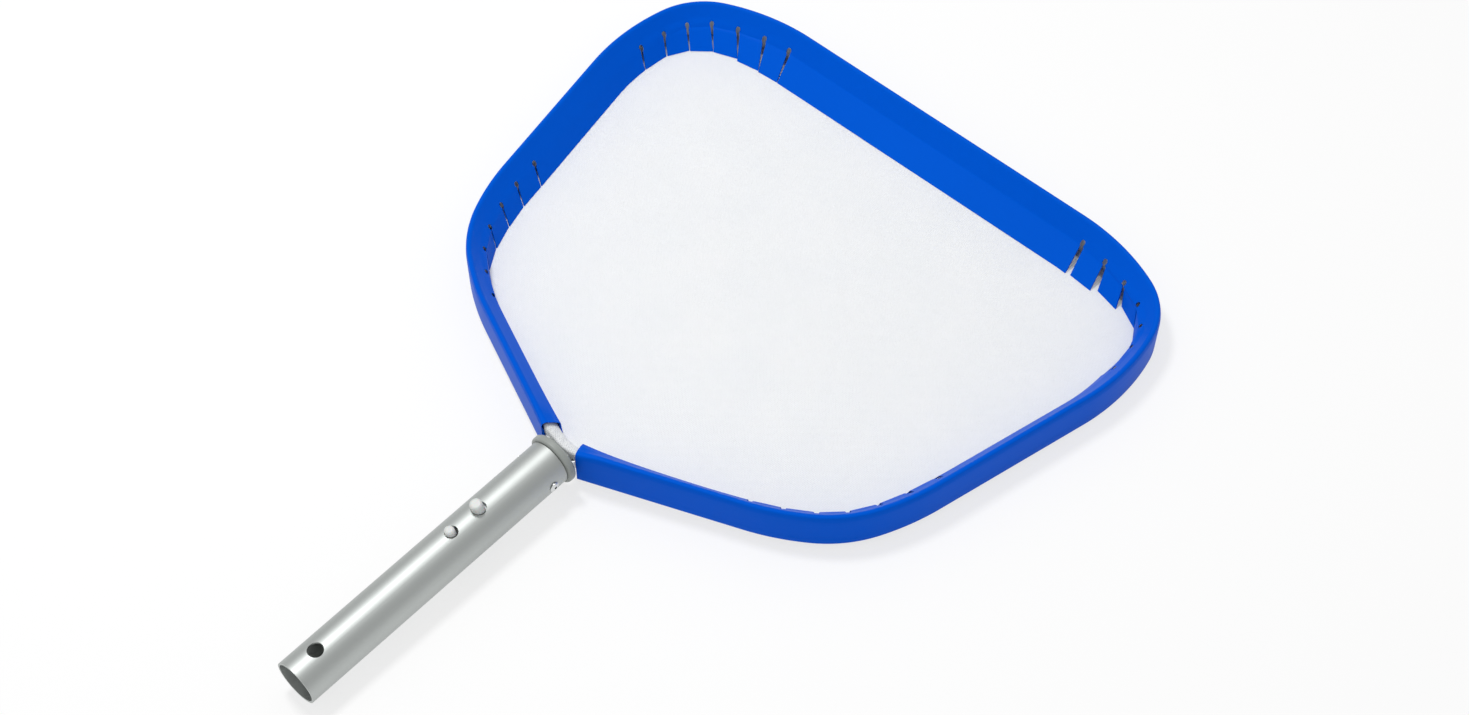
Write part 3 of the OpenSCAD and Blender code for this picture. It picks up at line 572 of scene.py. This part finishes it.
def makeBumper():
    b, s = bumper, slits
    rightRuns, rightWidths = slitRuns(s["rightShift"], False)
    leftRuns, leftWidths = slitRuns(s["leftShift"], True)
    cuts = np.concatenate([rightRuns, leftRuns[::-1]])
    widths = np.concatenate([rightWidths, leftWidths[::-1]])
    first, last = b["rightStart"], 2 * halfRun - b["leftStart"]
    edges = np.concatenate([[first], cuts, [last]])
    runs, side, cutOf, tabOf = stripColumns(edges, len(cuts))
    inCut = cutOf >= 0

    # One lean for each tab, as each is a flat plate hinged on the bend. The long stretches blend.
    tabMiddle = (edges[:-1] + edges[1:]) / 2
    tabLong = (edges[1:] - edges[:-1]) > s["longTab"]
    wobble = seed.uniform(-b["wobble"], b["wobble"], len(tabMiddle))
    tabLean = leanAt(foldedRun(tabMiddle)) + wobble
    lean = np.where(tabLong[tabOf], leanAt(foldedRun(runs)), tabLean[tabOf])

    path = fullPath(lean)                           # columns, rows, (inset, height)
    rows = path.shape[1]
    row = np.arange(rows)
    lengths = np.concatenate([[0], np.cumsum(np.linalg.norm(np.diff(path[0], axis=0), axis=1))])
    bendRow = rows - 1 - straightRows[-1] - curveMiddle             # middle of the rounded bend
    crestRow = bendRow - sum(straightRows[-4:-1]) - 3 * curveRows   # middle of the rounded crest
    lipStep = lengths[bendRow - curveRows + 1] - lengths[bendRow - curveRows]
    topRow = bendRow - int(round(s["rise"] / lipStep))
    pulled = np.zeros(len(runs), dtype=bool)
    pulled[inCut] = cutOf[inCut] < s["count"]
    topOf = np.where(pulled, bendRow - int(round(s["pulledRise"] / lipStep)), topRow)[:, None]

    # Half width of a slit at each row: the notch on the lip, then the slit on the flange
    widthOf = np.where(inCut, widths[np.clip(cutOf, 0, None)], 0.0)[:, None] / 2
    down = smoothStep((row[None] - topOf) / (bendRow - topOf + 1))
    half = (s["notch"] / 2) * (1 - down) + widthOf * down
    half = np.where(row[None] < topOf, s["notch"] / 2, half)
    at = runs[:, None] + side[:, None] * np.where(inCut[:, None], half, 0)

    # Rows above the notch are drawn up so that its top is a half round
    crown = np.where(inCut, np.sqrt(np.clip(1 - side ** 2, 0, 1)), 0)[:, None]
    rise = crown * (s["notch"] / 2 / lipStep) * s["crown"]
    share = np.clip((row[None] - topOf) / s["crownRows"] + 1, 0, 1)
    fade = np.clip((bendRow - row[None]) / (bendRow - topOf), 0, 1)
    moved = row[None] - rise * share * np.where(row[None] > topOf, fade, 1)
    low = np.clip(np.floor(moved).astype(int), 0, rows - 2)
    part = (moved - low)[..., None]
    index = np.arange(len(runs))[:, None]
    section = path[index, low] * (1 - part) + path[index, low + 1] * part

    # Towards the cut ends the bead sinks a little and the lip rises
    fromEnd = np.minimum(runs - first, last - runs)
    dip = b["endDip"] * (1 - smoothStep(fromEnd / b["endDipLength"]))
    crest = np.clip(1 - (b["top"] - section[..., 1]) / b["dipDepth"], 0, 1)
    section[..., 1] -= dip[:, None] * crest
    lipShare = np.clip((lengths - lengths[crestRow]) / (lengths[bendRow] - lengths[crestRow]), 0, 1)
    lift = np.where(runs < halfRun, b["rightLift"], b["leftLift"]) * np.exp(-fromEnd / b["liftLength"])
    footShare = np.clip((row - bendRow) / (rows - 1 - bendRow), 0, 1)
    section[..., 1] += lift[:, None] * (lipShare - footShare * (1 - b["footLift"]))[None]

    # Over the right shoulder the lip is drawn in, eased over the run and growing down the lip
    middle = (planRuns[1] + planRuns[4]) / 2 + s["rightShift"]
    near = smoothStep(s["pulledCore"] - np.abs(runs - middle) / s["pulledReach"])
    section[..., 0] += s["pulledIn"] * near[:, None] * lipShare[None]

    # Tabs are flat: below the middle of the lip each row follows the chord between the tab's two edges
    places = carried(at, section[..., 0], section[..., 1])
    startRun, endRun = edges[:-1][tabOf], edges[1:][tabOf]
    u = np.clip((at - startRun[:, None]) / (endRun - startRun)[:, None], 0, 1)[..., None]
    a = carried(np.broadcast_to(startRun[:, None], at.shape), section[..., 0], section[..., 1])
    z = carried(np.broadcast_to(endRun[:, None], at.shape), section[..., 0], section[..., 1])
    flatness = smoothStep((row - (topRow - s["flatStart"])) / s["flatRows"])[None, :, None]
    flatness = flatness * (~tabLong[tabOf])[:, None, None]
    places = places * (1 - flatness) + (a * (1 - u) + z * u) * flatness

    # The flange is drawn to its foot: on a tab the straight line between its two feet, on a long flange
    # the rim line shifted and inset by shares that fade from both ends
    foot = slitFeet()
    footInset = b["corners"][-1][0] + b["armLean"]
    ahead = np.vstack([[0, footInset], foot[:, 2:]])[tabOf]     # foot at the start of each column's tab
    behind = np.vstack([foot[:, :2], [0, footInset]])[tabOf]    # and at its end
    runShare = (runs - startRun) / (endRun - startRun)
    share = np.where(inCut, (side < 0.5).astype(float), np.clip(runShare, 0, 1))[:, None]
    lerped = (carried(startRun + ahead[:, 0], ahead[:, 1], b["flangeEnd"]) * (1 - share)
              + carried(endRun + behind[:, 0], behind[:, 1], b["flangeEnd"]) * share)
    fadeA = np.clip(1 - (runs - startRun) / feet["fade"], 0, 1)
    fadeB = np.clip(1 - (endRun - runs) / feet["fade"], 0, 1)
    edged = carried(runs + ahead[:, 0] * fadeA + behind[:, 0] * fadeB,
                    ahead[:, 1] * (1 - runShare) + behind[:, 1] * runShare, b["flangeEnd"])
    target = np.where(tabLong[tabOf][:, None], edged, lerped)
    target[:, 2] += lift * b["footLift"]
    places = places + (target - places[:, -1])[:, None] * footShare[None, :, None]

    gap = inCut[:-1] & inCut[1:] & (cutOf[:-1] == cutOf[1:])
    keep = ~(gap[:, None] & (row[None, :-1] >= topOf[:-1]))
    uv = np.stack([at * mm, np.broadcast_to(lengths[None] * mm, at.shape)], axis=-1)
    piece = meshObject("bumperStrip", fromTubeEnd(places), gridFaces(len(runs), rows, keep), vinyl, uv)
    wall = piece.modifiers.new("wall", "SOLIDIFY")
    wall.thickness = b["wall"] * mm
    wall.offset = -1.0
    wall.use_even_offset = True
    wall.thickness_clamp = b["wallClamp"]
    edge = piece.modifiers.new("edges", "BEVEL")
    edge.width = b["edgeRound"] * mm
    edge.segments = 2
    edge.limit_method = "ANGLE"
    edge.angle_limit = math.radians(b["edgeAngle"])
    edge.use_clamp_overlap = True
    edge.harden_normals = True
    return piece


strip = makeBumper()
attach(strip, "frame")
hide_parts("bumper")
print("bumper done")


net = {
    "width": 0.62, "thickness": 0.2,    # the stretched threads lie flat, mm
    "pitches": (1.14, 1.25),            # spacing of the two sets, mm
    "angle": 0.8,                       # degrees of the first set of threads off the leading edge
    "sides": 6, "shortest": 2.0,
    "inset": 11.0,                      # how far in from the rim's outer face the threads end
    "height": -13.1,
    "lift": 0.11,                       # the two sets lie this far above and below the middle
    "outlinePoints": 360,
}
tiny = 1e-9


def netOutline(inset):
    runs = np.linspace(0, 2 * halfRun, net["outlinePoints"])
    return carried(runs, np.full(len(runs), inset), 0.0)[:, :2]


def clippedThreads(outline, angle, pitch):
    # The outline is convex, so a thread enters at the largest and leaves at the smallest of its crossings
    a, b = outline, np.roll(outline, -1, axis=0)
    direction = np.array([math.cos(angle), math.sin(angle)])
    across = np.array([-direction[1], direction[0]])
    reach = outline @ across
    offsets = np.arange(reach.min() + pitch / 2, reach.max(), pitch)
    start = offsets[:, None] * across[None]
    edge = b - a
    outward = np.stack([edge[:, 1], -edge[:, 0]], axis=1)
    good = np.linalg.norm(edge, axis=1) > tiny
    outward, a = outward[good], a[good]
    speed = outward @ direction
    room = ((a[None] - start[:, None]) * outward[None]).sum(-1)
    with np.errstate(divide="ignore", invalid="ignore"):
        crossing = room / speed[None]
    leave = np.where(speed[None] > tiny, crossing, np.inf).min(axis=1)
    enter = np.where(speed[None] < -tiny, crossing, -np.inf).max(axis=1)
    ok = leave - enter > net["shortest"]
    return (start + enter[:, None] * direction)[ok], (start + leave[:, None] * direction)[ok], across


def makeNet():
    outline = netOutline(net["inset"])
    rings, count = [], net["sides"]
    turn = np.arange(count) / count * 2 * math.pi
    for angle, lift, pitch in ((net["angle"], net["lift"], net["pitches"][0]),
                               (net["angle"] + 90, -net["lift"], net["pitches"][1])):
        begin, end, across = clippedThreads(outline, math.radians(angle), pitch)
        # Each thread is a thin prism: centre + half width * cos * across + half thickness * sin * up.
        # The flat sides of the six lie at sin 60 degrees, so the height is divided by that.
        half = net["width"] / 2, net["thickness"] / 2
        circle = np.stack([half[0] * np.cos(turn) * across[0], half[0] * np.cos(turn) * across[1],
                           half[1] * np.sin(turn) / math.sin(math.pi / 3)], axis=-1)
        for place in (begin, end):
            middle = np.concatenate([place, np.full((len(place), 1), net["height"] + lift)], axis=1)
            rings.append(middle[:, None] + circle[None])
    points, faces, base = [], [], 0
    for a, b in ((rings[0], rings[1]), (rings[2], rings[3])):
        n = len(a)
        both = np.concatenate([a, b], axis=1)               # threads, 2 * sides
        points.append(both.reshape(-1, 3))
        k = np.arange(count)
        quads = np.stack([k, (k + 1) % count, (k + 1) % count + count, k + count], axis=1)
        offset = base + np.arange(n)[:, None, None] * 2 * count
        faces += (quads[None] + offset).reshape(-1, 4).tolist()
        caps = np.stack([k[::-1], k + count])
        faces += (caps[None] + offset).reshape(-1, count).tolist()
        base += n * 2 * count
    piece = meshObject("netThreads", fromTubeEnd(np.concatenate(points)), faces, polyester, smooth=False)
    a, b = outline, np.roll(outline, -1, axis=0)
    area = abs((a[:, 0] * b[:, 1] - b[:, 0] * a[:, 1]).sum()) / 2 * mm * mm
    size = (outline.max(axis=0) - outline.min(axis=0)) * mm
    return piece, size, area


netPiece, netSize, netArea = makeNet()
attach(netPiece, "frame")
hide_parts("net_panel")
print("net done", netSize.round(3), round(netArea, 4))


channel = {
    "middle": 5.6, "half": 2.25,            # inset of the channel's middle, half its clear width
    "roof": -6.65, "foot": -12.3,           # heights of the cloth at the channel's roof and at its outer leg
    "reach": 13.2, "flat": -13.25,          # where the edge meets the threads, and its height there
    "corner": 0.8, "chamfer": 0.25,
    "cloth": 0.3,
    "cord": 3.4, "cordSides": 14, "cordGap": 0.35,
    "step": 4.0,
}


def makeSwept(name, path, material, closed=False):
    # The path in (inset, height) is carried along the whole plan line
    runs = np.linspace(0, 2 * halfRun, int(2 * halfRun / channel["step"]) + 1)
    path = np.asarray(path, dtype=float)
    if closed:
        path = np.vstack([path, path[:1]])
    at = np.broadcast_to(runs[:, None], (len(runs), len(path)))
    places = carried(at, np.broadcast_to(path[None, :, 0], at.shape), path[None, :, 1])
    lengths = np.concatenate([[0], np.cumsum(np.linalg.norm(np.diff(path, axis=0), axis=1))])
    uv = np.stack([at * mm, np.broadcast_to(lengths[None] * mm, at.shape)], axis=-1)
    if not closed:
        return meshObject(name, fromTubeEnd(places), gridFaces(len(runs), len(path)), material, uv)
    n = len(path) - 1
    index = np.arange(len(runs))[:, None] * n + np.arange(n)[None]
    ahead = np.roll(index, -1, axis=1)
    quads = np.stack([index[:-1], ahead[:-1], ahead[1:], index[1:]], axis=-1).reshape(-1, 4).tolist()
    quads += [index[0][::-1].tolist(), index[-1].tolist()]
    return meshObject(name, fromTubeEnd(places[:, :-1]), quads, material, uv[:, :-1])


def makeNetEdge():
    # From the threads round the channel's inner leg, over its roof and down its outer leg
    c = channel
    left, right = c["middle"] - c["half"], c["middle"] + c["half"]
    flat, roof, corner, chamfer = c["flat"], c["roof"], c["corner"], c["chamfer"]
    path = [(c["reach"], flat), (right + corner, flat), (right + chamfer, flat + chamfer),
            (right, flat + corner), (right, roof - corner), (right - chamfer, roof - chamfer),
            (right - corner, roof), (left + corner, roof), (left + chamfer, roof - chamfer),
            (left, roof - corner), (left, c["foot"])]
    piece = makeSwept("netEdge", path, folded)
    wall = piece.modifiers.new("wall", "SOLIDIFY")
    wall.thickness = c["cloth"] * mm
    wall.offset = 0.0
    return piece, float(np.linalg.norm(np.diff(np.array(path), axis=0), axis=1).sum() * mm)


netEdge, edgeWidth = makeNetEdge()
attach(netEdge, "frame")
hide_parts("net_border")

turns = np.arange(channel["cordSides"]) / channel["cordSides"] * 2 * math.pi
cordHalf = channel["cord"] / 2
cordPath = np.stack([channel["middle"] + cordHalf * np.cos(turns),
                     channel["roof"] - channel["cordGap"] - cordHalf + cordHalf * np.sin(turns)], axis=1)
splineCord = makeSwept("splineCord", cordPath, cordVinyl, closed=True)
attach(splineCord, "frame")
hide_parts("net_spline")
print("net edge and spline cord done")


patch = {
    # Cross-section just inside the strip, as (inset, height) from the collar side over the crest to the net
    "section": ((2.2, 0.6), (2.2, 5.4), (3.0, 6.4), (5.0, 5.8), (8.0, 4.0), (10.3, 1.6), (11.2, -2.4),
                (12.0, -7.6), (12.6, -12.3)),
    "smoothing": (1, 2, 3, 2, 1),
    "sag": 3.6, "sagPower": 1.5,    # how far the crest sinks halfway across the throat
    "drawIn": 0.042,                # how much nearer to the tube it lies there, as a share
    "nearest": 6.2,                 # clear of the collar's front face, mm ahead of the tube's end
    "inside": 4.0,                  # how far it reaches into the ends of the strip
    "ripple": 0.2, "waves": (1.1, 0.5),
    "cloth": 0.5, "width": 26.0, "span": 0.02,
    "rows": 46, "endColumns": 7, "midColumns": 42,
}


def makePatch():
    # A loft of one cross-section over four stations: inside the right end, at it, at the left end and inside
    # it. Between the two ends it runs straight across, and its crest sinks as sin(pi * share).
    p = patch
    base = np.array(p["section"])
    knots = np.concatenate([[0], np.cumsum(np.linalg.norm(np.diff(base, axis=0), axis=1))])
    v = np.linspace(0, knots[-1], p["rows"])
    inset, height = np.interp(v, knots, base[:, 0]), np.interp(v, knots, base[:, 1])
    kernel = np.array(p["smoothing"]) / sum(p["smoothing"])
    inset[2:-2] = np.convolve(inset, kernel, "valid")
    height[2:-2] = np.convolve(height, kernel, "valid")
    rightEnd, leftEnd = bumper["rightStart"], 2 * halfRun - bumper["leftStart"]
    stations = [rightEnd + p["inside"], rightEnd, leftEnd, leftEnd - p["inside"]]
    rings = np.array([carried(np.full(len(v), r), inset, height) for r in stations])
    ends, mids = np.linspace(0, 1, p["endColumns"]), np.linspace(0, 1, p["midColumns"])
    u = np.concatenate([ends, 1 + mids[1:], 2 + ends[1:]])
    k = np.clip(u.astype(int), 0, 2)
    t = (u - k)[:, None, None]
    places = rings[k] * (1 - t) + rings[k + 1] * t
    across = np.where(k == 1, np.sin((u - 1) * math.pi), 0)[:, None]
    up = np.clip((places[..., 2] - height.min()) / (height.max() - height.min()), 0, 1)
    places[..., 2] -= p["sag"] * across * up ** p["sagPower"]
    wave = np.sin(places[..., 0] * p["waves"][0] + places[..., 1] * p["waves"][1])
    places[..., 2] += p["ripple"] * wave * across
    places[..., 1] = np.maximum(places[..., 1] * (1 - p["drawIn"] * across), p["nearest"])
    uv = np.stack(np.broadcast_arrays(u[:, None] * p["span"], v[None] * mm), axis=-1)
    piece = meshObject("throatPatch", fromTubeEnd(places), gridFaces(len(u), len(v)), folded, uv)
    wall = piece.modifiers.new("wall", "SOLIDIFY")
    wall.thickness = p["cloth"] * mm
    wall.offset = 0.0
    down, over = places[1:, :-1] - places[:-1, :-1], places[:-1, 1:] - places[:-1, :-1]
    return piece, float(np.linalg.norm(np.cross(down, over), axis=-1).sum() * mm * mm)


patchPiece, patchArea = makePatch()
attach(patchPiece, "frame")
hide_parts("throat_patch")
print("throat patch done")


floorValues = {
    "size": 12.0, "colour": "FFFFFF",
    "ownLight": 0.7,                # share of the paper's own white where it is seen
    "buttonHalf": 0.004, "gap": 0.0002,
}


def makeFloor(values):
    # The part rests on its lower release button and on its leading edge, so the floor passes under both
    button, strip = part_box("lower_clip_arm"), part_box("bumper")
    buttonY, frontY = button[1][1] - values["buttonHalf"], strip[1][1]
    slope = (strip[0][2] - button[0][2]) / (frontY - buttonY)
    half = values["size"] / 2
    x, y = np.meshgrid([-half, half], [-half, half], indexing="ij")
    z = button[0][2] + (y - buttonY) * slope - values["gap"]
    material, tree = newMaterial("whitePaperSweep")
    # Seen directly or in a reflection, the paper is mostly its own white, and the rest keeps a soft shadow
    path = addNode(tree, "ShaderNodeLightPath")
    seen = path.outputs["Is Camera Ray"]
    for other in ("Is Glossy Ray", "Is Transmission Ray"):
        seen = addNode(tree, "ShaderNodeMath", {0: seen, 1: path.outputs[other]},
                       operation="MAXIMUM").outputs[0]
    share = addNode(tree, "ShaderNodeMath", {0: seen, 1: values["ownLight"]}, operation="MULTIPLY")
    paper = addNode(tree, "ShaderNodeBsdfDiffuse", {"Color": linearColour(values["colour"])})
    glow = addNode(tree, "ShaderNodeEmission", {"Color": linearColour(values["colour"]), "Strength": 1.0})
    mix = addNode(tree, "ShaderNodeMixShader", {0: share.outputs[0], 1: paper.outputs[0], 2: glow.outputs[0]})
    finishMaterial(tree, mix.outputs[0])
    floor = meshObject("paperFloor", np.stack([x, y, z], axis=-1), gridFaces(2, 2), material)


lightValues = {
    "world": 0.56,
    "keyPower": 13.8, "keySize": 0.32, "keyDistance": 1.7,
    "keyTilt": 17.0,                # degrees off straight up, to the left
    "aim": (0.0, 0.12, 0.0),
}


def makeLights(values):
    world = bpy.data.worlds.new("studio")
    world.use_nodes = True
    world.node_tree.nodes.clear()
    tree = world.node_tree                      # seen directly the world is plain white, as the paper is
    path = addNode(tree, "ShaderNodeLightPath")
    strength = addNode(tree, "ShaderNodeMapRange", {"Value": path.outputs["Is Camera Ray"],
                                                    "To Min": values["world"], "To Max": 1.0})
    background = addNode(tree, "ShaderNodeBackground", {"Color": (1, 1, 1, 1),
                                                        "Strength": strength.outputs[0]})
    addNode(tree, "ShaderNodeOutputWorld", {"Surface": background.outputs[0]})
    bpy.context.scene.world = world
    tilt = math.radians(values["keyTilt"])
    data = bpy.data.lights.new("softbox", "AREA")
    data.shape = "SQUARE"
    data.size = values["keySize"]
    data.energy = values["keyPower"]
    lamp = bpy.data.objects.new("softbox", data)
    lamp.location = (values["aim"][0] - math.sin(tilt) * values["keyDistance"], values["aim"][1],
                     values["aim"][2] + math.cos(tilt) * values["keyDistance"])
    lamp.rotation_euler = (0, -tilt, 0)
    bpy.context.scene.collection.objects.link(lamp)


makeFloor(floorValues)
makeLights(lightValues)
print("floor and lights done")
